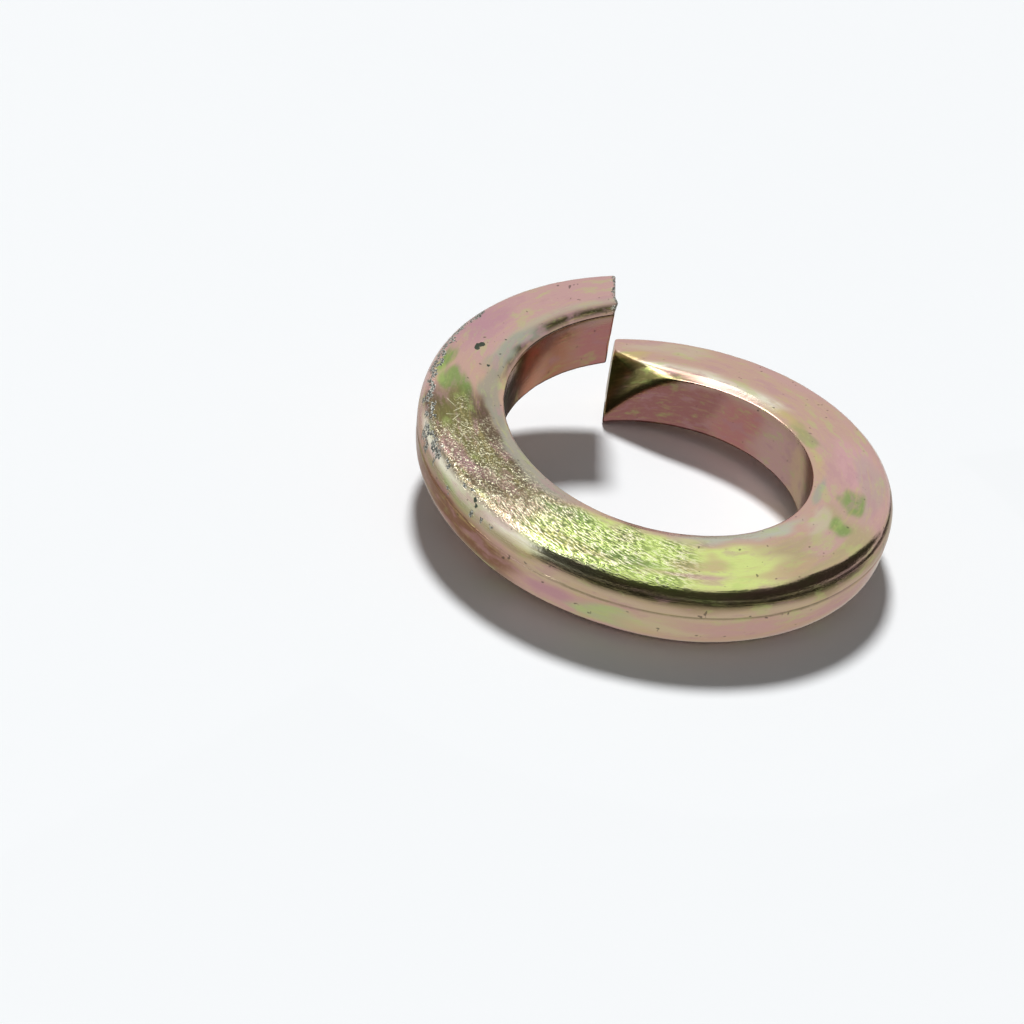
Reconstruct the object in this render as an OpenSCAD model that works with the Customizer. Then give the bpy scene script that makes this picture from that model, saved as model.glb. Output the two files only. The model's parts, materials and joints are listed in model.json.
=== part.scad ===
// Spring lock washer: one turn of stout, nearly square wire, coiled left-handed and cut through
// on a slant, so that its two ends stand one above the other and bite as the nut is tightened.
// The bore axis is +Z, the lowest point is at z = 0, and the cut is on the +Y side.

/* [Bore] */
// Diameter of the bore
bore_d = 16.3; // [13:0.1:22]

/* [Wire] */
// Width of the wire, from the bore to the rim
wire_w = 4.3; // [3:0.05:6]
// Thickness of the wire, along the bore
wire_t = 3.65; // [3.2:0.05:5]

/* [Coil] */
// Rise of the coil over one full turn
pitch = 4.25; // [2:0.05:8]
// Gap between the two ends, along the middle of the wire
cut_gap = 0.55; // [0.2:0.05:1.5]
// Slant of the cut away from the straight line to the middle
cut_slant = 15; // [0:1:25]

/* [Rim edges] */
// How far the upper rim edge reaches in over the top face
rim_top_reach = 0.7; // [0.3:0.05:1]
// How far the upper rim edge drops down the rim
rim_top_drop = 1.3; // [0.7:0.05:1.35]
// How far the lower rim edge reaches in under the bottom face
rim_bottom_reach = 1.15; // [0.5:0.05:1.4]
// How far the lower rim edge rises up the rim
rim_bottom_rise = 1.3; // [0.7:0.05:1.5]

/* [Bore edges] */
// How far the upper bore edge reaches out over the top face
bore_top_reach = 0.85; // [0.4:0.05:1.1]
// How far the upper bore edge drops down the bore
bore_top_drop = 0.4; // [0.15:0.05:0.6]
// How far the lower bore edge reaches out under the bottom face
bore_bottom_reach = 0.45; // [0.2:0.05:0.8]
// How far the lower bore edge rises up the bore
bore_bottom_rise = 0.4; // [0.15:0.05:0.6]

/* [Roll line] */
// Depth of the roll line's middle below the top face
roll_line_drop = 1.48; // [1.46:0.01:1.58]
// Width of the roll line round the rim
roll_line_w = 0.2; // [0.1:0.02:0.22]
// Depth of the roll line into the rim
roll_line_depth = 0.05; // [0.02:0.01:0.12]

/* [Low end] */
// How far over the top face the sheared facet reaches, where the wire is cut
facet_reach = 2.4; // [1.5:0.1:3]
// Lean of the sheared facet away from level
facet_lean = 55; // [48:1:62]
// The way that the sheared facet looks, clockwise from the gap
facet_turn = 230; // [220:1:240]

/* [Hidden] */

bore_r = bore_d / 2;
rim_r = bore_r + wire_w;
mid_r = bore_r + wire_w / 2;
half_t = wire_t / 2;

// How far the wire is swept into the bore before the bore is cut true
bore_stock = 0.05;
// Steps of the sweep round the coil, and of one rounded edge
coil_steps = 96;
rim_steps = 6;
bore_steps = 4;

// Turn of one cut face at radius r, seen from above and counted clockwise from its mid-wire point
cut_offset = mid_r * sin(cut_slant);
function cut_turn(r) = acos(cut_offset / r) - acos(cut_offset / mid_r);

// The ends of the wire at radius r, clockwise from the middle of the gap
gap_angle = 360 * cut_gap / (2 * PI * mid_r);
function low_end(r) = gap_angle / 2 + cut_turn(r);
function high_end(r) = 360 - gap_angle / 2 + cut_turn(r);

// The height of the wire's middle at an angle: the low end's lowest point is at z = 0
base_z = half_t - pitch * low_end(bore_r + bore_bottom_reach) / 360;
function coil_z(angle) = base_z + pitch * angle / 360;

// A place on the sheared facet: where the cut crosses the top face
facet_r = bore_r + facet_reach;
facet_angle = low_end(facet_r);
facet_place = [facet_r * sin(facet_angle), facet_r * cos(facet_angle), coil_z(facet_angle) + half_t];

// A quarter of an ellipse, as [radius, height] points
function rounded(centre, reach, start, steps) = [
    for (i = [0:steps])
        let (a = start + 90 * i / steps)
            [centre.x + reach.x * cos(a), centre.y + reach.y * sin(a)]
];

// The ellipse height at which an edge passes the bore wall at the wanted drop
function bore_edge_height(reach, drop) = drop / (1 - sqrt(1 - pow(reach / (reach + bore_stock), 2)));
bore_top_h = bore_edge_height(bore_top_reach, bore_top_drop);
bore_bottom_h = bore_edge_height(bore_bottom_reach, bore_bottom_rise);

// The wire's section as [radius, height] points, counter-clockwise from the bottom of the rim
wire_section = concat(
    rounded([rim_r - rim_bottom_reach, rim_bottom_rise - half_t],
            [rim_bottom_reach, rim_bottom_rise], 270, rim_steps),
    [
        [rim_r, half_t - roll_line_drop - roll_line_w / 2],
        [rim_r - roll_line_depth, half_t - roll_line_drop],
        [rim_r, half_t - roll_line_drop + roll_line_w / 2]
    ],
    rounded([rim_r - rim_top_reach, half_t - rim_top_drop],
            [rim_top_reach, rim_top_drop], 0, rim_steps),
    rounded([bore_r + bore_top_reach, half_t - bore_top_h],
            [bore_top_reach + bore_stock, bore_top_h], 90, bore_steps),
    rounded([bore_r + bore_bottom_reach, bore_bottom_h - half_t],
            [bore_bottom_reach + bore_stock, bore_bottom_h], 180, bore_steps)
);
section_count = len(wire_section);

// A point of the section, carried round the coil: share runs from 0 at the low end to 1 at the high
function coil_point(p, share) =
    let (angle = low_end(p.x) + share * (high_end(p.x) - low_end(p.x)))
        [p.x * sin(angle), p.x * cos(angle), coil_z(angle) + p.y];

// The swept wire: rings of points, two triangles between each pair of neighbours, and two end faces
module coiled_wire() {
    points = [
        for (i = [0:coil_steps], p = wire_section)
            coil_point(p, i / coil_steps)
    ];
    sides = [
        for (i = [0:coil_steps - 1], j = [0:section_count - 1])
            let (
                a = i * section_count + j,
                b = i * section_count + (j + 1) % section_count
            )
                each [[a, b, b + section_count], [a, b + section_count, a + section_count]]
    ];
    low_face = [for (j = [section_count - 1:-1:0]) j];
    high_face = [for (j = [0:section_count - 1]) coil_steps * section_count + j];
    polyhedron(points, concat(sides, [low_face, high_face]), convexity = 6);
}

// What the shear took off the low end's bore side: the wire above a slanting plane, up to the gap
module sheared_off() {
    side = 4 * rim_r;
    intersection() {
        translate(facet_place)
            rotate([0, 0, -facet_turn])
                rotate([-facet_lean, 0, 0])
                    translate([-1.35 * wire_w, -wire_w / 2, 0])
                        cube([2 * wire_w, 1.7 * wire_w, 0.6 * wire_t]);
        rotate([0, 0, 90 - cut_slant])
            translate([-side / 2, cut_offset - side, -side / 2])
                cube(side);
    }
}

// The washer: the coiled wire with its bore cut to a true round, and its low end sheared
module washer() {
    bore_run = pitch + 2 * wire_t;
    color([0.76, 0.66, 0.46])
        difference() {
            coiled_wire();
            translate([0, 0, coil_z(180) - bore_run])
                cylinder(h = 2 * bore_run, r = bore_r, $fn = 180);
            sheared_off();
        }
}

washer();
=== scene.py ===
import json
import math
import random

import bpy
import numpy as np
from mathutils import Matrix, Vector, noise


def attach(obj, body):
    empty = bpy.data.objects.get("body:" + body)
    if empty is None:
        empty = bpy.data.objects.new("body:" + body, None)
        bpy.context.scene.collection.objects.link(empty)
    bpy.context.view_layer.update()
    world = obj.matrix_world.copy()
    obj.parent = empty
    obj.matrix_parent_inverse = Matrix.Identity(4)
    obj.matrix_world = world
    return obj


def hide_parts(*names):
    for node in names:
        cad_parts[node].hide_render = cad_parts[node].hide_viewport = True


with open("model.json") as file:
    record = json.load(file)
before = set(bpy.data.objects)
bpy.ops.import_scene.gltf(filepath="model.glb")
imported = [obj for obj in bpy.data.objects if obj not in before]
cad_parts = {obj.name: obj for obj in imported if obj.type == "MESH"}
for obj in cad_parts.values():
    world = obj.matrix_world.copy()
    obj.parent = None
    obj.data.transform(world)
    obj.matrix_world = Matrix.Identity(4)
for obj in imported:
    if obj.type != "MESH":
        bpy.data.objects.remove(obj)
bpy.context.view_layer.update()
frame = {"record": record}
MM = 0.001

# The wire. One turn of stout steel wire, coiled left-handed while hot and cut through on a slant.
# Its section is nearly square, with the rim's edges rolled round and the bore's edges eased.
# Lengths are in millimetres, and angles in degrees, clockwise from the gap as seen from above.
bore = next(m for m in frame["record"]["mounts"] if m["name"] == "bore")
bore_r = bore["dims"]["r_mm"]
wire_w = 4.3
wire_t = 3.65
half_t = wire_t / 2
rim_r = bore_r + wire_w
mid_r = bore_r + wire_w / 2
pitch = 4.25
cut_gap = 0.55
cut_slant = 15
rim_top = (0.8, 1.375)
rim_bottom = (1.15, 1.3)
bore_top = (1.15, 0.34)
bore_bottom = (0.45, 0.4)
roll_line_drop = 1.48
roll_line_w = 0.2
roll_line_depth = 0.035


def arc(centre, reach, start, stop, steps):
    """Points of an ellipse from one angle to another, without the last."""
    turns = np.radians(np.linspace(start, stop, steps, endpoint=False))
    return np.column_stack((centre[0] + reach[0] * np.cos(turns), centre[1] + reach[1] * np.sin(turns)))


def line(start, stop, steps):
    """Points of a straight stretch, without the last."""
    share = np.linspace(0, 1, steps, endpoint=False)[:, None]
    return np.array(start) * (1 - share) + np.array(stop) * share


def curve(start, pull, stop, steps):
    """Points of a curve between two places, bent towards a third, without the last."""
    share = np.linspace(0, 1, steps, endpoint=False)[:, None]
    bend = 2 * share * (1 - share) * np.array(pull)
    return (1 - share) ** 2 * np.array(start) + bend + share ** 2 * np.array(stop)


roll_line_h = half_t - roll_line_drop
roll_line_low = (rim_r, roll_line_h - roll_line_w / 2)
roll_line_high = (rim_r, roll_line_h + roll_line_w / 2)
roll_line_middle = (rim_r - roll_line_depth, roll_line_h)
ease_start = (bore_r + bore_top[0], half_t)
ease_pull = (bore_r + 0.62, half_t)
bevel_start = (bore_r + 0.44, half_t - 0.08)
bevel_stop = (bore_r + 0.1, half_t - 0.21)
corner_pull = (bore_r, half_t - 0.25)
wall_start = (bore_r, half_t - bore_top[1])
low_edge_steps = 16
rim_steps = 8
roll_line_steps = 2
high_edge_steps = 20
outline = np.concatenate((
    arc((rim_r - rim_bottom[0], rim_bottom[1] - half_t), rim_bottom, 270, 360, low_edge_steps),
    line((rim_r, rim_bottom[1] - half_t), roll_line_low, rim_steps),
    line(roll_line_low, roll_line_middle, roll_line_steps),
    line(roll_line_middle, roll_line_high, roll_line_steps),
    line(roll_line_high, (rim_r, half_t - rim_top[1]), roll_line_steps),
    arc((rim_r - rim_top[0], half_t - rim_top[1]), rim_top, 0, 90, high_edge_steps),
    line((rim_r - rim_top[0], half_t), ease_start, 27),
    curve(ease_start, ease_pull, bevel_start, 9),
    line(bevel_start, bevel_stop, 4),
    curve(bevel_stop, corner_pull, wall_start, 4),
    line(wall_start, (bore_r, bore_bottom[1] - half_t), 24),
    arc((bore_r + bore_bottom[0], bore_bottom[1] - half_t), bore_bottom, 180, 270, 9),
    line((bore_r + bore_bottom[0], -half_t), (rim_r - rim_bottom[0], -half_t), 22),
))
ahead = np.roll(outline, -1, axis=0)
behind = np.roll(outline, 1, axis=0)
outward = np.column_stack(((ahead - behind)[:, 1], -(ahead - behind)[:, 0]))
outward /= np.linalg.norm(outward, axis=1)[:, None]

above_roll_line = low_edge_steps + rim_steps + 2 * roll_line_steps
high_edge_middle = above_roll_line + roll_line_steps + high_edge_steps // 2

# Girth is the way round the section, from the top of the bore wall out over the top and down the rim
step = np.linalg.norm(ahead - outline, axis=1)
girth_line = np.concatenate(([0], np.cumsum(step)[:-1]))
wall_top = int(np.argmin(np.linalg.norm(outline - wall_start, axis=1)))
girth_line = girth_line[wall_top] - girth_line


def over(across):
    """Girth of a place on the top face, by its distance out from the bore."""
    top = np.arange(above_roll_line, wall_top + 1)
    return float(np.interp(across, (outline[top, 0] - bore_r)[::-1], girth_line[top][::-1]))


def down_rim(height):
    """Girth of a place on the rim, by its height above the middle of the wire."""
    rim = np.arange(high_edge_middle)
    return float(np.interp(height, outline[rim, 1], girth_line[rim]))


def down_bore(height):
    """Girth of a place on the bore wall, by its height above the middle of the wire."""
    return height - (half_t - bore_top[1])


def cut_turn(r):
    """Turn of the slanting cut at radius r, away from its place at the middle of the wire."""
    offset = mid_r * math.sin(math.radians(cut_slant))
    return np.degrees(np.arccos(offset / r)) - math.degrees(math.acos(offset / mid_r))


gap_angle = math.degrees(cut_gap / mid_r)
low_reach = bore_r + bore_bottom[0]
base_z = half_t - pitch * (gap_angle / 2 + cut_turn(low_reach)) / 360
end_round = 0.14
coil_rings = 520
end_rings = 5
cap_rings = 12
wire_length = math.radians(360 - gap_angle) * mid_r


def smooth(low, high, value):
    """0 below low, 1 above high, and a smooth rise between them."""
    share = np.clip((value - low) / (high - low), 0, 1)
    return share * share * (3 - 2 * share)


# Rings stand along the wire at these distances from the low end, closer together at both ends
eased = end_round * (1 - np.cos(np.linspace(0, math.pi / 2, end_rings, endpoint=False)))
stations = np.concatenate((eased, np.linspace(end_round, wire_length - end_round, coil_rings),
                           (wire_length - eased)[::-1]))
to_end = np.minimum(stations, wire_length - stations)
inset = end_round - np.sqrt(np.maximum(end_round ** 2 - np.maximum(end_round - to_end, 0) ** 2, 0))

# Every place as (distance along the wire, radius, height), with the way out of the surface there
along = np.repeat(stations[:, None], len(outline), axis=1)
radius = outline[None, :, 0] - inset[:, None] * outward[None, :, 0]
height = outline[None, :, 1] - inset[:, None] * outward[None, :, 1]
out_r = np.repeat(outward[None, :, 0], len(stations), axis=0)
out_h = np.repeat(outward[None, :, 1], len(stations), axis=0)
girth = np.repeat(girth_line[None, :], len(stations), axis=0)
angle = gap_angle / 2 + np.degrees(along / mid_r)
across = radius - bore_r


def noise_field(scale, stretch=1.0, seed=0.0):
    """Smooth noise over the wire: its feature size in millimetres, and how far it is drawn out along it."""
    points = np.column_stack((along.ravel() / (scale * stretch), radius.ravel() / scale + seed,
                              height.ravel() / scale - seed))
    values = [noise.noise(Vector(p)) for p in points]
    return np.array(values).reshape(along.shape)


broad = noise_field(3.0, stretch=2.0, seed=3.0)
medium = noise_field(0.9, stretch=1.6, seed=11.0)
small = noise_field(0.38, seed=23.0)
fine = noise_field(0.2, seed=41.0)

# How rough the skin is: most of the top face, on the side away from the gap, is coarse and sparkles,
# and from there on to the front it is drawn into streaks
on_top = smooth(0.5, 1.0, out_h) * smooth(0.5, 1.3, across + 0.5 * medium)
coarse_from = (214, 240)
coarse_to = (252, 279)
streaky_from = (176, 206)
streaky_to = (222, 244)
coarse = on_top * smooth(*coarse_from, angle + 14 * medium) * (1 - smooth(*coarse_to, angle + 16 * medium))
streaky = on_top * smooth(*streaky_from, angle + 12 * medium)
streaky = streaky * (1 - smooth(*streaky_to, angle + 14 * medium))

# How far the skin stands off the plain form: it was rolled and coiled hot, so it is a little wavy
lift = 0.035 * broad + 0.010 * medium + 0.004 * small
lift += coarse * (0.018 * small + 0.018 * fine) + streaky * 0.014 * small

# Nicks along the rim's upper edge, knocked through the plating to grey steel, and pits beside them.
# Each has an angle, a distance out from the bore, a half length, a half width and a depth.
draw = random.Random(4)
bare = np.zeros_like(along)
pitted = np.zeros_like(along)
pit_depth = 0.03
chain_stop = 231
chain_thins = 255
chain_moves_out = 266
knocks = []
nick_turn = 316.0
while nick_turn > chain_stop:
    dense = nick_turn > chain_thins
    middle_out = 3.72 if nick_turn > chain_moves_out else 4.0
    knocks.append((nick_turn, middle_out + draw.gauss(0, 0.12), draw.uniform(0.08, 0.24),
                   draw.uniform(0.06, 0.13), draw.uniform(0.003, 0.009)))
    nick_turn -= draw.uniform(0.3, 1.0) if dense else draw.uniform(1.2, 3.6)
knocks += [
    (303.6, 2.12, 0.20, 0.15, pit_depth),
    (302.3, 2.28, 0.26, 0.11, pit_depth),
    (301.0, 2.18, 0.17, 0.13, pit_depth),
    (311.2, 1.26, 0.08, 0.07, pit_depth),
    (304.6, 1.08, 0.15, 0.05, pit_depth),
    (303.8, 0.96, 0.07, 0.08, pit_depth),
    (296.0, 1.16, 0.07, 0.09, pit_depth),
    (238.4, 3.96, 0.13, 0.09, pit_depth),
    (237.0, 4.08, 0.10, 0.07, pit_depth),
]


def top_height(at):
    """Height of the wire's upper side at a distance out from the bore."""
    top = outline[above_roll_line:wall_top]
    return float(np.interp(at, (top[:, 0] - bore_r)[::-1], top[:, 1][::-1]))


# Each knock is a ragged hollow. The deep ones are pits, and the others wear the plating off.
for turn, out, half_long, half_wide, depth in knocks:
    far = ((angle - turn) * math.radians(mid_r + out - wire_w / 2) / half_long) ** 2
    far += ((across - out) / half_wide) ** 2 + ((height - top_height(out)) / (2.2 * half_wide)) ** 2
    hollow = np.exp(-far * np.clip(1 + 1.2 * small + 0.8 * fine, 0.4, 2))
    lift -= depth * hollow
    if depth < pit_depth:
        bare = np.maximum(bare, np.clip(1.2 * hollow, 0, 1))
    else:
        pitted = np.maximum(pitted, hollow)

# The burr that the shear left on the high end, by the bore's upper edge, and the notch below it
burr_reach = 0.18
notch_reach = 0.12
scraped = 1 - smooth(0.04, 0.3, wire_length - along + 0.2 * small)
bare = np.maximum(bare, 0.8 * scraped * smooth(0.9, 1.6, height))
burr = np.exp(-((wire_length - along) / 0.2) ** 2)
burr *= np.exp(-((across - 0.8) / 0.4) ** 2) * smooth(0.9, half_t, height)
lift += 0.03 * burr
notch = np.exp(-((wire_length - along) / 0.2) ** 2 - (across / 0.3) ** 2 - ((height + 0.4) / 0.35) ** 2)
along = along + burr_reach * burr - notch_reach * notch

# The bore was cut true, so its wall stays a round cylinder, and the rim keeps close to its size
rim_swell = 0.05
radius = radius + lift * out_r
height = height + lift * out_h
radius = np.clip(radius, bore_r, rim_r + rim_swell)


def on_coil(s, r, h):
    """A place on the wire, carried round the coil, in metres."""
    share = s / wire_length
    turn = gap_angle / 2 + cut_turn(r) + share * (360 - gap_angle)
    rise = base_z + pitch * turn / 360
    turn = np.radians(turn)
    return np.stack((r * np.sin(turn), r * np.cos(turn), rise + h), axis=-1) * MM


# The sheared end faces: rings that close in on the middle, slightly torn
middle = outline.mean(axis=0)
tear_depth = 0.03
middle_depth = 0.04


def end_face(ring, direction):
    """Rings from the edge of an end to its middle, and the middle point, as places on the wire."""
    rings = []
    for k in range(1, cap_rings):
        share = 1 - k / cap_rings
        r = middle[0] + (radius[ring] - middle[0]) * share
        h = middle[1] + (height[ring] - middle[1]) * share
        tear = [noise.noise(Vector((a * 1.3, b * 4, 5.0))) for a, b in zip(r, h)]
        s = stations[ring] - direction * (1 - share) * tear_depth * (1 + np.array(tear))
        rings.append(np.column_stack((s, r, h)))
    return rings, np.array((stations[ring] - direction * middle_depth, middle[0], middle[1]))


# Every place on the wire in one list: the skin, the two end faces and their middle points
count = len(outline)
low_rings, low_middle = end_face(0, -1)
high_rings, high_middle = end_face(-1, 1)
places = [np.column_stack((along.ravel(), radius.ravel(), height.ravel()))]
places += low_rings + high_rings + [low_middle[None, :], high_middle[None, :]]
places = np.concatenate(places)
vertices = on_coil(places[:, 0], places[:, 1], places[:, 2])

# The shear took the low end's bore side off along a slanting plane. What stands above the plane is
# laid back onto it, each place within its own slanting ring.
facet_reach = 2.4
facet_lean = math.radians(55)
facet_turn = math.radians(225)
facet_blend = 0.2 * MM
facet_fade = (6.5, 8.0)
facet_way = np.array((math.sin(facet_turn) * math.sin(facet_lean),
                      math.cos(facet_turn) * math.sin(facet_lean),
                      math.cos(facet_lean)))
facet_place = on_coil(0.0, bore_r + facet_reach, half_t)
ring_turn = np.radians(gap_angle / 2 + places[:, 0] / wire_length * (360 - gap_angle) + cut_slant - 90)
ring_way = np.column_stack((np.sin(ring_turn), np.cos(ring_turn), np.zeros(len(places))))
slide = facet_way - (ring_way @ facet_way)[:, None] * ring_way
proud = (vertices - facet_place) @ facet_way
proud = np.logaddexp(0, np.clip(proud / facet_blend, -60, 60)) * facet_blend
proud *= 1 - smooth(*facet_fade, places[:, 0])
vertices = vertices - slide * (proud / (slide @ facet_way))[:, None]
faceted = smooth(0.1 * MM, 0.36 * MM, proud[:along.size].reshape(along.shape))

# Four-sided faces between neighbouring rings, and small triangles round the middle of each end
faces = []
for i in range(len(stations) - 1):
    for j in range(count):
        k = (j + 1) % count
        faces.append((i * count + j, i * count + k, (i + 1) * count + k, (i + 1) * count + j))
low_start = len(stations) * count
high_start = low_start + len(low_rings) * count
for first, start, last, flip in ((0, low_start, len(places) - 2, True),
                                 (low_start - count, high_start, len(places) - 1, False)):
    inner = [first] + [start + k * count for k in range(cap_rings - 1)]
    for a, b in zip(inner, inner[1:]):
        for j in range(count):
            k = (j + 1) % count
            quad = (a + j, a + k, b + k, b + j)
            faces.append(quad[::-1] if flip else quad)
    for j in range(count):
        k = (j + 1) % count
        fan = (inner[-1] + j, inner[-1] + k, last)
        faces.append(fan[::-1] if flip else fan)

mesh = bpy.data.meshes.new("coiled_washer")
mesh.from_pydata(vertices.tolist(), [], faces)
mesh.update()
mesh.shade_smooth()
washer = bpy.data.objects.new("coiled_washer", mesh)
bpy.context.scene.collection.objects.link(washer)

# The plating. Yellow passivated zinc a few thousandths of a millimetre thick, dipped and left to drain,
# so that its tint runs from pink through grey and green to yellow in patches and streaks along the coil.
# Highlights and shade are painted into the tint as well, along the edges, on the facet and on the bore
# wall.


def from_screen(red, green, blue):
    """A colour as read on a screen, turned into light values."""
    return np.array([(c / 255 / 12.92) if c <= 10 else ((c / 255 + 0.055) / 1.055) ** 2.4
                     for c in (red, green, blue)])


pink = from_screen(204, 165, 161)
mauve = from_screen(194, 150, 158)
green = from_screen(134, 160, 92)
yellow_green = from_screen(222, 246, 142)
gold = from_screen(204, 186, 128)
tan = from_screen(202, 172, 142)
cream = from_screen(206, 198, 170)
ivory = from_screen(240, 236, 214)
blue_grey = from_screen(168, 170, 154)
olive = from_screen(146, 140, 88)
brown = from_screen(142, 120, 96)
copper = from_screen(140, 96, 66)
rose = from_screen(201, 137, 135)
ember = from_screen(193, 134, 109)

# The patches have ragged edges, because their angle and girth are read through noise
warp_angle = angle + 5 * noise_field(1.6, stretch=2.5, seed=61.0)
warp_angle = warp_angle + 2.5 * noise_field(0.5, stretch=2.5, seed=67.0)
warp_girth = girth + 0.55 * noise_field(1.3, stretch=2.5, seed=71.0)
warp_girth = warp_girth + 0.3 * noise_field(0.45, stretch=3.0, seed=79.0)
band_fade = 6
band_soft = 0.35
line_fade = 5
tint = np.empty(along.shape + (3,))
tint[:] = tan * 0.4 + pink * 0.6


def wash(colour, share):
    """Lays a colour over the tint, by its share at each place."""
    tint[:] = tint + (colour - tint) * np.clip(share, 0, 1)[..., None]


def patch(colour, turn, way_round, half_long, half_wide, strength=1.0):
    """A patch of one colour: its middle, its half length in degrees and its half width in millimetres."""
    far = np.hypot((warp_angle - turn) / half_long, (warp_girth - way_round) / half_wide)
    wash(colour, strength * (1 - smooth(0.6, 1.35, far)))


def band(colour, start, stop, inner, outer, strength=1.0):
    """A stretch of one colour, between two angles and between two ways round the section."""
    ends = 1 - smooth(stop - band_fade, stop + band_fade, warp_angle)
    run = smooth(start - band_fade, start + band_fade, warp_angle) * ends
    edges = 1 - smooth(outer - band_soft, outer + band_soft, warp_girth)
    run *= smooth(inner - band_soft, inner + band_soft, warp_girth) * edges
    wash(colour, strength * run)


def edge_line(colour, start, stop, middle, half_wide, strength=1.0):
    """A thin soft line of one colour along the wire."""
    ends = 1 - smooth(stop - line_fade, stop + line_fade, warp_angle)
    run = smooth(start - line_fade, start + line_fade, warp_angle) * ends
    wash(colour, strength * run * np.exp(-((girth - middle) / half_wide) ** 2))


# The top face, from the high end back round to the low end
band(pink, 296, 370, over(0.5), over(4.0))
patch(mauve, 312, over(3.2), 14, 1.0)
# Painted light and shade along the arm's bore edge: a cream painted highlight line, a dark olive band of
# painted shade under it, and a thin gold painted highlight at the corner with the wall.
edge_line(0.85 * cream, 300, 372, over(1.02), 0.3, 0.85)
edge_line(0.16 * olive, 292, 372, over(0.38), 0.34, 1.0)
edge_line(0.5 * gold, 296, 372, -0.02, 0.06, 0.8)
# Painted highlight along the bore's upper edge, from the low end round to 116 degrees: ivory where it is
# brightest, gold further round.
edge_line(gold, 66, 116, over(0.5), 0.35, 0.7)
edge_line(ivory, 34, 72, over(0.7), 0.42, 0.95)
edge_line(ivory, 6, 40, over(1.0), 0.28, 0.95)
patch(blue_grey, 308, over(0.7), 16, 0.55, 0.9)
band(tan, 262, 300, over(0.0), over(1.2), 0.6)
patch(green, 292.5, over(3.46), 5, 0.4)
patch(green, 284.1, over(2.9), 4, 0.45, 0.9)
patch(green, 278.9, over(2.15), 7, 0.6)
patch(pink, 283, over(4.1), 16, 0.35, 0.8)
band(0.42 * brown, 229, 278, over(0.8), over(4.0), 0.95)
band(tan, 224, 238, over(0.8), over(3.9), 0.5)
patch(0.7 * olive, 268, over(2.6), 14, 0.8, 0.9)
patch(mauve, 254, over(3.0), 9, 0.5, 0.5)
patch(0.7 * olive, 248, over(1.9), 9, 0.5, 0.7)
patch(0.5 * tan + 0.5 * pink, 231, over(2.9), 7, 0.8, 0.7)
patch(blue_grey, 250, over(0.5), 24, 0.5, 0.8)
patch(0.85 * blue_grey, 284, over(0.6), 18, 0.45, 0.7)
band(yellow_green, 188, 225, over(0.9), over(4.1), 0.95)
patch(gold, 214, over(3.2), 10, 0.4, 0.7)
patch(green, 224, over(1.5), 9, 0.45, 0.8)
patch(green, 203, over(2.7), 9, 0.4, 0.7)
band(0.4 * gold + 0.6 * green, 126, 164, over(1.4), over(3.9), 0.5)
band(yellow_green, 164, 190, over(1.4), over(3.9), 0.75)
patch(tan, 184.7, over(2.3), 8, 0.35, 0.7)
patch(cream, 141, over(1.4), 8, 0.6, 0.7)
patch(pink, 186, over(3.2), 9, 0.35, 0.8)
patch(1.35 * blue_grey, 171, over(0.6), 22, 0.5, 1.0)
patch(pink, 146, over(2.3), 9, 0.6, 0.8)
patch(tan, 160, over(3.1), 12, 0.4, 0.6)
patch(green, 137, over(2.3), 5, 0.5, 0.9)
band(pink, 86, 130, over(0.4), over(4.0), 0.75)
patch(0.6 * pink + 0.55 * mauve, 101, over(2.4), 13, 1.1, 0.9)
patch(blue_grey, 112, over(3.0), 14, 0.6, 0.35)
patch(green, 121, over(2.2), 6, 0.45, 0.9)
patch(blue_grey, 126, over(0.5), 9, 0.4, 0.8)
patch(green, 90, over(0.5), 9, 0.35, 0.5)
band(0.5 * tan + 0.5 * pink, 22, 92, over(1.0), over(3.2), 0.6)
patch(pink, 60, over(3.4), 22, 0.5, 0.7)
patch(gold, 8, over(1.6), 7, 0.5, 0.8)
patch(cream, 18, over(2.8), 14, 0.7, 0.5)
# A painted highlight: an ivory line along the rim's upper edge on the left.
edge_line(ivory, 205, 268, over(4.06), 0.26, 0.95)

# The rim, from its upper edge down
band(green, 236, 258, over(4.1), down_rim(0.6), 0.8)
band(cream, 228, 248, over(4.0), down_rim(0.9), 0.8)
# Olive over the rim's rounded upper edge: partly the plating's tint, partly painted shade that deepens the
# dark band mirrored there.
band(olive, 110, 236, over(4.15), down_rim(1.0), 0.9)
band(0.5 * tan + 0.5 * cream, 140, 226, down_rim(0.95), down_rim(0.25), 0.85)
# Painted shade: a dark olive line along the rim's rounded upper edge, inside the dark band.
edge_line(0.3 * olive, 140, 213, down_rim(1.12), 0.22, 0.9)
band(0.75 * copper, 226, 300, down_rim(0.45), down_rim(-1.7), 0.9)
band(pink, 120, 222, down_rim(0.1), down_rim(-1.2), 0.8)
patch(0.6 * cream + 0.5 * green, 203, down_rim(-0.46), 8, 0.5, 0.95)
patch(mauve, 216, down_rim(-0.3), 6, 0.4, 0.8)
patch(0.6 * cream + 0.4 * gold, 191, down_rim(-0.38), 9, 0.6, 0.8)
band(gold, 70, 116, down_rim(0.9), down_rim(-1.2), 0.5)
band(tan, 130, 200, down_rim(-0.5), down_rim(-1.6), 0.7)
# Painted shade: a thin dark line along the rim's lower edge, where it meets its shadow.
edge_line(0.3 * brown, 84, 296, down_rim(-1.45), 0.14, 0.8)
# Painted shade: a thin dark olive line in the roll line's groove.
edge_line(0.45 * olive, 100, 216, down_rim(roll_line_h), 0.05, 0.7)

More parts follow.
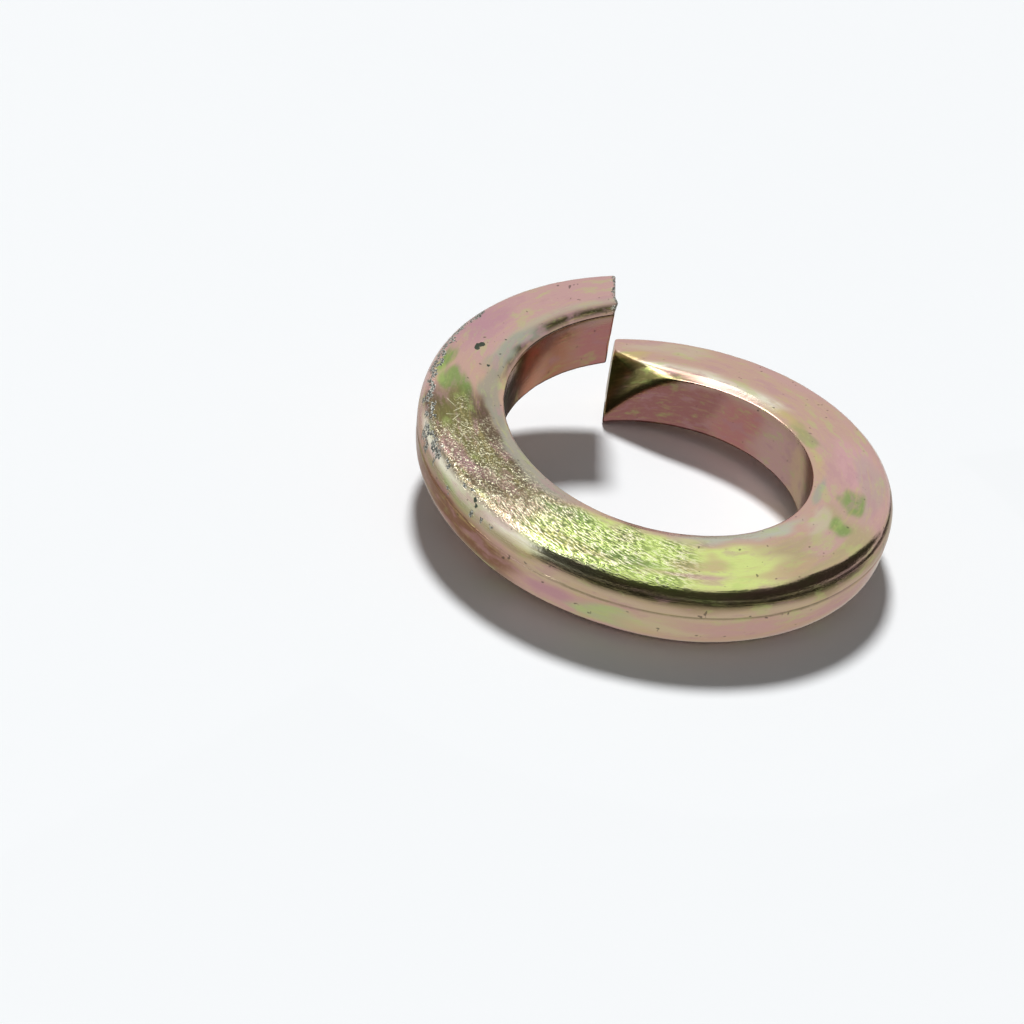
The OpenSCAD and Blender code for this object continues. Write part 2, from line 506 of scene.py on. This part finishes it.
# The bore wall: rose, ember, copper, pink and tan along the wire. Their strengths are partly painted
# reflection: lighter from 311 to 327 degrees and from 69 to 112, darker from 262 to 311 and from the low
# end to 49 degrees, where the wall mirrors lit and shaded surroundings.
band(rose, 343, 372, down_bore(-2.6), down_bore(1.2), 0.95)
band(ember, 327, 343, down_bore(-2.6), down_bore(1.2), 0.95)
band(1.4 * ember, 311, 327, down_bore(-2.6), down_bore(1.2), 0.95)
band(0.6 * copper, 262, 311, down_bore(-2.6), down_bore(1.2), 0.95)
patch(0.8 * gold, 299, down_bore(-2.3), 9, 0.5, 0.8)
band(0.72 * rose, -12, 49, down_bore(-2.6), down_bore(1.2), 0.95)
band(rose, 49, 69, down_bore(-2.6), down_bore(1.2), 0.95)
band(1.1 * pink, 69, 91, down_bore(-2.6), down_bore(1.2), 0.9)
band(1.25 * tan, 91, 112, down_bore(-2.6), down_bore(1.2), 0.8)
# Painted shade: dark olive along the top of the bore wall near the low end, under the painted highlight.
edge_line(0.4 * olive, 0, 29, 0.05, 0.42, 0.9)

# The sheared facet: dark olive, greener by the very end, partly the plating and partly painted shade for
# the dark that it mirrors, with a paler olive line along its lower border and a painted highlight of gold
# glints along its upper edge, where it runs out.
wash(0.7 * olive, 0.92 * faceted)
patch(0.5 * green, 3, over(0.4), 5, 0.9, 0.8)
wash(0.8 * olive, 2.0 * faceted * (1 - faceted) * (1 - smooth(0.0, 0.6, out_h)))
wash(1.2 * gold, 2.4 * faceted * (1 - faceted) * smooth(0.4, 0.9, out_h) * smooth(-0.1, 0.4, medium))

extra = len(places) - along.size


def attribute(name, kind, values, end_value):
    """Stores a value for each vertex, with one plain value over the end faces."""
    flat = values.reshape(along.size, -1)
    whole = np.concatenate((flat, np.tile(np.atleast_1d(end_value), (extra, 1))))
    layer = mesh.attributes.new(name, kind, "POINT")
    field = "value" if kind == "FLOAT" else "color"
    layer.data.foreach_set(field, whole.astype(np.float32).ravel())


# The patterns lie on the wire: along it, out from the bore and up from its middle, in millimetres
wire = places - (0, bore_r, 0)
layer = mesh.attributes.new("wire", "FLOAT_VECTOR", "POINT")
layer.data.foreach_set("vector", wire.astype(np.float32).ravel())
attribute("tint", "FLOAT_COLOR", np.concatenate((tint, np.ones(along.shape + (1,))), axis=-1),
          np.append(0.5 * (tan + blue_grey), 1))
attribute("bare", "FLOAT", bare, 0.3)
attribute("pitted", "FLOAT", pitted, 0.0)
attribute("coarse", "FLOAT", coarse, 0.3)
attribute("streaky", "FLOAT", streaky, 0.0)
attribute("sheared", "FLOAT", faceted, 0.0)


class Value:
    """A shader socket that takes part in Python expressions."""

    def __init__(self, shader, socket):
        self.shader = shader
        self.socket = socket

    def maths(self, operation, *others):
        return self.shader.node("ShaderNodeMath", {"operation": operation}, [self, *others])

    def __add__(self, other):
        return self.maths("ADD", other)

    __radd__ = __add__

    def __mul__(self, other):
        return self.maths("MULTIPLY", other)

    __rmul__ = __mul__

    def __sub__(self, other):
        return self.maths("SUBTRACT", other)

    def __rsub__(self, other):
        return self.shader.node("ShaderNodeMath", {"operation": "SUBTRACT"}, [other, self])

    def largest(self, other):
        return self.maths("MAXIMUM", other)

    def rise(self, low, high):
        """0 below low, 1 above high, and a smooth rise between them."""
        settings = {"interpolation_type": "SMOOTHSTEP"}
        inputs = {"Value": self, "From Min": low, "From Max": high}
        return self.shader.node("ShaderNodeMapRange", settings, inputs)


class Shader:
    """The nodes of one material or of the world."""

    def __init__(self, owner):
        owner.use_nodes = True
        self.tree = owner.node_tree
        self.tree.nodes.clear()

    def node(self, kind, settings=None, inputs=None, output=0):
        """Adds a node: its settings, then its sockets' values or links. Returns one of its outputs."""
        made = self.tree.nodes.new(kind)
        for name, value in (settings or {}).items():
            setattr(made, name, value)
        pairs = inputs.items() if isinstance(inputs, dict) else enumerate(inputs or [])
        for name, value in pairs:
            if isinstance(value, Value):
                self.tree.links.new(value.socket, made.inputs[name])
            else:
                made.inputs[name].default_value = value
        return Value(self, made.outputs[output]) if len(made.outputs) else made


def mixed(shader, share, first, second):
    """Two colours, mixed by a share."""
    return shader.node("ShaderNodeMix", {"data_type": "RGBA"}, {0: share, 6: first, 7: second}, 2)


def stretched(shader, place, scale):
    """A place on the wire, scaled differently along the wire, across it and up it."""
    return shader.node("ShaderNodeVectorMath", {"operation": "MULTIPLY"}, [place, scale])


def texture(shader, place, scale, detail=2.0, roughness=0.5):
    """Noise over the wire, in features per millimetre."""
    inputs = {"Vector": place, "Scale": scale, "Detail": detail, "Roughness": roughness}
    return shader.node("ShaderNodeTexNoise", None, inputs)


def place_along(turn):
    """Distance along the wire of an angle round the coil."""
    return math.radians(turn - gap_angle / 2) * mid_r


worn_grey = tuple(from_screen(84, 86, 82))
pit_grey = tuple(from_screen(72, 80, 68))
worn_white = tuple(from_screen(186, 186, 176))
soot = tuple(from_screen(58, 52, 44))
# A painted highlight colour, for glints on the relief and for the scratches.
glint = tuple(from_screen(250, 246, 214))
plating = bpy.data.materials.new("yellow_zinc")
skin = Shader(plating)
place = skin.node("ShaderNodeAttribute", {"attribute_name": "wire"}, None, 1)
base_tint = skin.node("ShaderNodeAttribute", {"attribute_name": "tint"}, None, 0)
bare_share = skin.node("ShaderNodeAttribute", {"attribute_name": "bare"}, None, 2)
pit_share = skin.node("ShaderNodeAttribute", {"attribute_name": "pitted"}, None, 2)
coarse_share = skin.node("ShaderNodeAttribute", {"attribute_name": "coarse"}, None, 2)
streaky_share = skin.node("ShaderNodeAttribute", {"attribute_name": "streaky"}, None, 2)
sheared_share = skin.node("ShaderNodeAttribute", {"attribute_name": "sheared"}, None, 2)

# The patterns of the skin: an even grain, crystals where it is coarse, curled strokes that catch the light
# through their relief and painted glints, lines and streaks drawn out along the wire, clouds in the tint,
# and a few dark dots
grain = texture(skin, place, 7.0, 3.0, 0.6)
crystals = texture(skin, place, 12.5, 2.0, 0.5)
slanted = skin.node("ShaderNodeVectorRotate", {"rotation_type": "Z_AXIS"}, {"Vector": place, "Angle": 0.3})
lines = texture(skin, stretched(skin, slanted, (0.4, 1.5, 1.5)), 8.5, 2.0, 0.5)
curls = texture(skin, place, 4.6, 1.5, 0.5)
strokes = (1 - (curls - 0.5).maths("ABSOLUTE").rise(0.018, 0.05)) * grain.rise(0.44, 0.52)
streaks = texture(skin, stretched(skin, place, (0.35, 2.6, 2.6)), 2.2, 4.0, 0.6)
clouds = texture(skin, stretched(skin, place, (0.5, 1.2, 1.2)), 1.1, 4.0, 0.6)
drawn = texture(skin, stretched(skin, place, (0.08, 5.0, 5.0)), 2.4, 3.0, 0.6)
dots = texture(skin, place, 3.4, 1.0, 0.5)

# Five thin scratches on the top face, each from one place to another
scratches = None
for start, stop in (
    ((place_along(269.5), 2.35), (place_along(266.8), 2.75)),
    ((place_along(269.5), 2.35), (place_along(268.8), 3.0)),
    ((place_along(273.2), 2.1), (place_along(270.6), 2.6)),
    ((place_along(275.5), 2.9), (place_along(272.8), 2.5)),
    ((place_along(263.4), 1.9), (place_along(265.0), 2.4)),
):
    first = Vector((start[0], start[1], half_t))
    run = Vector((stop[0], stop[1], half_t)) - first
    way = run / run.length_squared
    offset = skin.node("ShaderNodeVectorMath", {"operation": "SUBTRACT"}, [place, first])
    share = skin.node("ShaderNodeVectorMath", {"operation": "DOT_PRODUCT"}, [offset, way], 1)
    share = share.maths("MAXIMUM", 0.0).maths("MINIMUM", 1.0)
    nearest = skin.node("ShaderNodeVectorMath", {"operation": "SCALE"}, {0: run, "Scale": share})
    apart = skin.node("ShaderNodeVectorMath", {"operation": "DISTANCE"}, [offset, nearest], 1)
    stroke = 1 - (apart + (grain - 0.5) * 0.08).rise(0.008, 0.038)
    scratches = stroke if scratches is None else scratches.largest(stroke)

# The tint, then the patterns over it with their painted shade and painted highlights, the pits, the bare
# steel of the nicks, and the scratches, drawn as painted highlights
to_pink = clouds.rise(0.52, 0.66) * 0.42
to_green = (1 - clouds).rise(0.54, 0.68) * 0.34
colour = mixed(skin, to_pink, base_tint, (*mauve, 1))
colour = mixed(skin, to_green, colour, (*(0.5 * green + 0.5 * yellow_green), 1))
colour = mixed(skin, streaks.rise(0.5, 0.72) * 0.3, colour, (*gold, 1))
# Painted shade of the relief: dark olive between the crystals and dark green between the streaks' lines.
colour = mixed(skin, (1 - crystals).rise(0.48, 0.58) * coarse_share * 0.6, colour, (*(0.4 * olive), 1))
colour = mixed(skin, (1 - lines).rise(0.49, 0.58) * streaky_share * 0.85, colour, (*(0.5 * green), 1))
# Painted highlights: glints on the crystals, the curled strokes and the streaks' lines.
colour = mixed(skin, crystals.rise(0.6, 0.66) * coarse_share * 0.6, colour, (*glint, 1))
colour = mixed(skin, strokes * coarse_share * 0.9, colour, (*glint, 1))
colour = mixed(skin, lines.rise(0.52, 0.6) * streaky_share * 0.95, colour, (*glint, 1))
colour = mixed(skin, grain.rise(0.56, 0.74) * 0.2, colour, (*cream, 1))
colour = mixed(skin, dots.rise(0.735, 0.76) * 0.6, colour, (*soot, 1))
colour = mixed(skin, (pit_share + (grain - 0.5) * 0.8).rise(0.4, 0.5), colour, (*pit_grey, 1))
bare_edge = (bare_share + (grain - 0.5) * 3.2).rise(0.42, 0.62) * bare_share.rise(0.05, 0.3)
worn = mixed(skin, crystals.rise(0.46, 0.6), (*worn_grey, 1), (*worn_white, 1))
colour = mixed(skin, bare_edge, colour, worn)
colour = mixed(skin, scratches * 0.6, colour, (*glint, 1))

# The plating is bright and smooth, a little duller where it is coarse or worn, with a shallow relief
roughness = 0.16 + coarse_share * 0.05 + (clouds - 0.5) * 0.12 + bare_edge * 0.15
relief = grain * 0.35 + (streaks * 0.5 + drawn * 0.4) * (1 - sheared_share)
relief = relief + (crystals * 2.6 + strokes * 1.4) * coarse_share + lines * streaky_share * 5.0
relief = relief - bare_edge * grain * 0.8
normal = skin.node("ShaderNodeBump", None, {"Strength": 1.0, "Distance": 0.014 * MM, "Height": relief})
surface = skin.node("ShaderNodeBsdfPrincipled", None, {
    "Base Color": colour, "Metallic": 1.0, "Roughness": roughness, "Normal": normal,
    "Specular Tint": (0.82, 0.78, 0.75, 1),
})
skin.node("ShaderNodeOutputMaterial", None, {"Surface": surface})
mesh.materials.append(plating)
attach(washer, "root")
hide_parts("washer")

# The surface that the washer lies on: a sheet of plain white card. The coil touches it with the low
# end and with the far side of its turn, so the sheet stands at a small angle to the bore.
rest_up = np.array((0.06055, 0.10758, 0.99235))
sheet_r = 1.5
sheet_corners = 96
lowest = float((vertices @ rest_up).min())
up = Vector(rest_up).normalized()
side = up.cross(Vector((0, 1, 0))).normalized()
front = up.cross(side)
corners = []
for i in range(sheet_corners):
    turn = 2 * math.pi * i / sheet_corners
    corners.append(up * lowest + side * (sheet_r * math.cos(turn)) + front * (sheet_r * math.sin(turn)))
sheet_mesh = bpy.data.meshes.new("floor")
sheet_mesh.from_pydata([tuple(c) for c in corners], [], [tuple(range(sheet_corners))[::-1]])
floor = bpy.data.objects.new("floor", sheet_mesh)
bpy.context.scene.collection.objects.link(floor)
card = bpy.data.materials.new("white_card")
paper = Shader(card)
paper_surface = paper.node("ShaderNodeBsdfPrincipled", None, {
    "Base Color": (0.915, 0.935, 0.95, 1), "Roughness": 0.8, "Specular IOR Level": 0.2,
})
paper.node("ShaderNodeOutputMaterial", None, {"Surface": paper_surface})
sheet_mesh.materials.append(card)

# The camera stands where the photograph was taken from, in front of the washer and above it.
eye = Vector((-20.3887, -50.4768, 43.0746)) * MM
look = Vector((0.19597, 0.74898, -0.63295)).normalized()
right = Vector((0.98024, -0.16733, 0.10549)).normalized()
over_head = right.cross(look)
lens = bpy.data.cameras.new("camera")
lens.lens = 44.83
lens.sensor_width = 36
lens.clip_start = 0.002
lens.clip_end = 10
camera = bpy.data.objects.new("camera", lens)
bpy.context.scene.collection.objects.link(camera)
camera.matrix_world = Matrix.Translation(eye) @ Matrix((right, over_head, -look)).transposed().to_4x4()
bpy.context.scene.camera = camera

# The light. A key lamp like a soft sun, behind the washer, lights the card and isn't mirrored. The metal
# mirrors a strip of window on the left and a small skylight behind, and white walls round it all.


def toward(turn, rise):
    """The direction at an angle clockwise from the gap and at an angle above level."""
    turn = math.radians(turn)
    rise = math.radians(rise)
    return Vector((math.sin(turn) * math.cos(rise), math.cos(turn) * math.cos(rise), math.sin(rise)))


def soft_box(name, turn, rise, far, width, depth, radiance):
    """A lamp with an even face, set by where it stands and by how bright that face is."""
    spot = toward(turn, rise) * far
    lamp = bpy.data.lights.new(name, "AREA")
    lamp.shape = "RECTANGLE"
    lamp.size = width
    lamp.size_y = depth
    lamp.energy = radiance * math.pi * width * depth
    holder = bpy.data.objects.new(name, lamp)
    bpy.context.scene.collection.objects.link(holder)
    holder.matrix_world = Matrix.Translation(spot) @ (-spot).to_track_quat("-Z", "Y").to_matrix().to_4x4()
    holder.visible_camera = False
    return holder


key_lamp = bpy.data.lights.new("key", "SUN")
key_lamp.angle = math.radians(10)
key_lamp.energy = 3.55
key = bpy.data.objects.new("key", key_lamp)
bpy.context.scene.collection.objects.link(key)
key.matrix_world = (-toward(8, 44)).to_track_quat("-Z", "Y").to_matrix().to_4x4()
key.visible_glossy = False
window = soft_box("window", turn=-78, rise=57, far=0.25, width=0.34, depth=0.04, radiance=8.0)
window.visible_diffuse = False
skylight = soft_box("skylight", turn=-14, rise=68, far=0.25, width=0.1, depth=0.1, radiance=1.6)
skylight.visible_diffuse = False

# The dark side of the room, behind the lens: a curved dark screen fixed to the camera, a painted dark
# reflection. Only the metal shows it.
shade_r = 0.45
shade_top = 0.45
shade_turns = range(75, 243, 5)
shade_mesh = bpy.data.meshes.new("dark_side")
shade_foot = [toward(turn, 0) * shade_r for turn in shade_turns]
shade_mesh.from_pydata([tuple(v) for v in shade_foot] + [(v.x, v.y, shade_top) for v in shade_foot], [],
                       [(i, i + 1, i + 1 + len(shade_foot), i + len(shade_foot))
                        for i in range(len(shade_foot) - 1)])
shade = bpy.data.objects.new("dark_side", shade_mesh)
bpy.context.scene.collection.objects.link(shade)
shade.parent = camera
shade.matrix_parent_inverse = camera.matrix_world.inverted()
# A dark look for painted dark reflections, used by the screen and by the dark ring on the floor.
dark_reflection = bpy.data.materials.new("dark_cloth")
dark = Shader(dark_reflection)
dark_surface = dark.node("ShaderNodeEmission", None, {"Color": (0.045, 0.043, 0.036, 1), "Strength": 1.0})
dark.node("ShaderNodeOutputMaterial", None, {"Surface": dark_surface})
shade_mesh.materials.append(dark_reflection)
shade.visible_camera = False
shade.visible_diffuse = False
shade.visible_shadow = False

# Flat rings on the floor, which only the metal shows, as painted reflections: a pale glowing one close to
# the washer, painted light over the card where the washer's shadow lies, a dark one round it, painted
# shade, a dim glowing one inside the bore, painted light where the card is partly in shadow, and a darker
# glowing one under the raised end, painted shade.
ring_steps = 72


def floor_ring(name, inner, outer, start, stop, look_of_it):
    """A flat stretch of a ring round the washer, just above the floor."""
    points = []
    for r in (inner, outer):
        for i in range(ring_steps + 1):
            flat = toward(start + (stop - start) * i / ring_steps, 0) * r
            points.append(flat + Vector((0, 0, (lowest + 0.00004 - flat.dot(up)) / up.z)))
    quads = [(i, i + 1, i + 2 + ring_steps, i + 1 + ring_steps) for i in range(ring_steps)]
    ring_mesh = bpy.data.meshes.new(name)
    ring_mesh.from_pydata([tuple(q) for q in points], [], quads)
    ring_mesh.materials.append(look_of_it)
    ring = bpy.data.objects.new(name, ring_mesh)
    bpy.context.scene.collection.objects.link(ring)
    ring.visible_camera = False
    ring.visible_diffuse = False
    ring.visible_shadow = False


def glowing(name, strength):
    """A look that gives off an even, pale light."""
    glow = bpy.data.materials.new(name)
    pale = Shader(glow)
    inputs = {"Color": (1.0, 0.98, 0.94, 1), "Strength": strength}
    pale_surface = pale.node("ShaderNodeEmission", None, inputs)
    pale.node("ShaderNodeOutputMaterial", None, {"Surface": pale_surface})
    return glow


floor_ring("pale_ring", 0.012, 0.0225, 0, 360, glowing("pale_glow", 0.72))
floor_ring("dark_ring", 0.0225, 0.080, 75, 232, dark_reflection)
floor_ring("bore_floor", 0.0002, 0.0079, 0, 360, glowing("dim_glow", 0.5))
floor_ring("under_the_end", 0.0079, 0.011, 290, 372, glowing("low_glow", 0.12))

# The room: white walls on every side. The lens and the metal see them about as bright as the card, and
# they add only a little light to the shadows.
wall_light = 0.15
wall_glow = 0.77
room = bpy.data.worlds.new("white_room")
bpy.context.scene.world = room
walls = Shader(room)
path = walls.node("ShaderNodeLightPath")
glossy = Value(walls, path.socket.node.outputs["Is Glossy Ray"])
clear = Value(walls, path.socket.node.outputs["Is Transmission Ray"])
seen = path.largest(glossy).largest(clear)
strength = wall_light + wall_glow * seen
air = walls.node("ShaderNodeBackground", None, {"Color": (1, 1, 1, 1), "Strength": strength})
walls.node("ShaderNodeOutputWorld", None, {"Surface": air})
bpy.context.scene.view_settings.view_transform = "Standard"
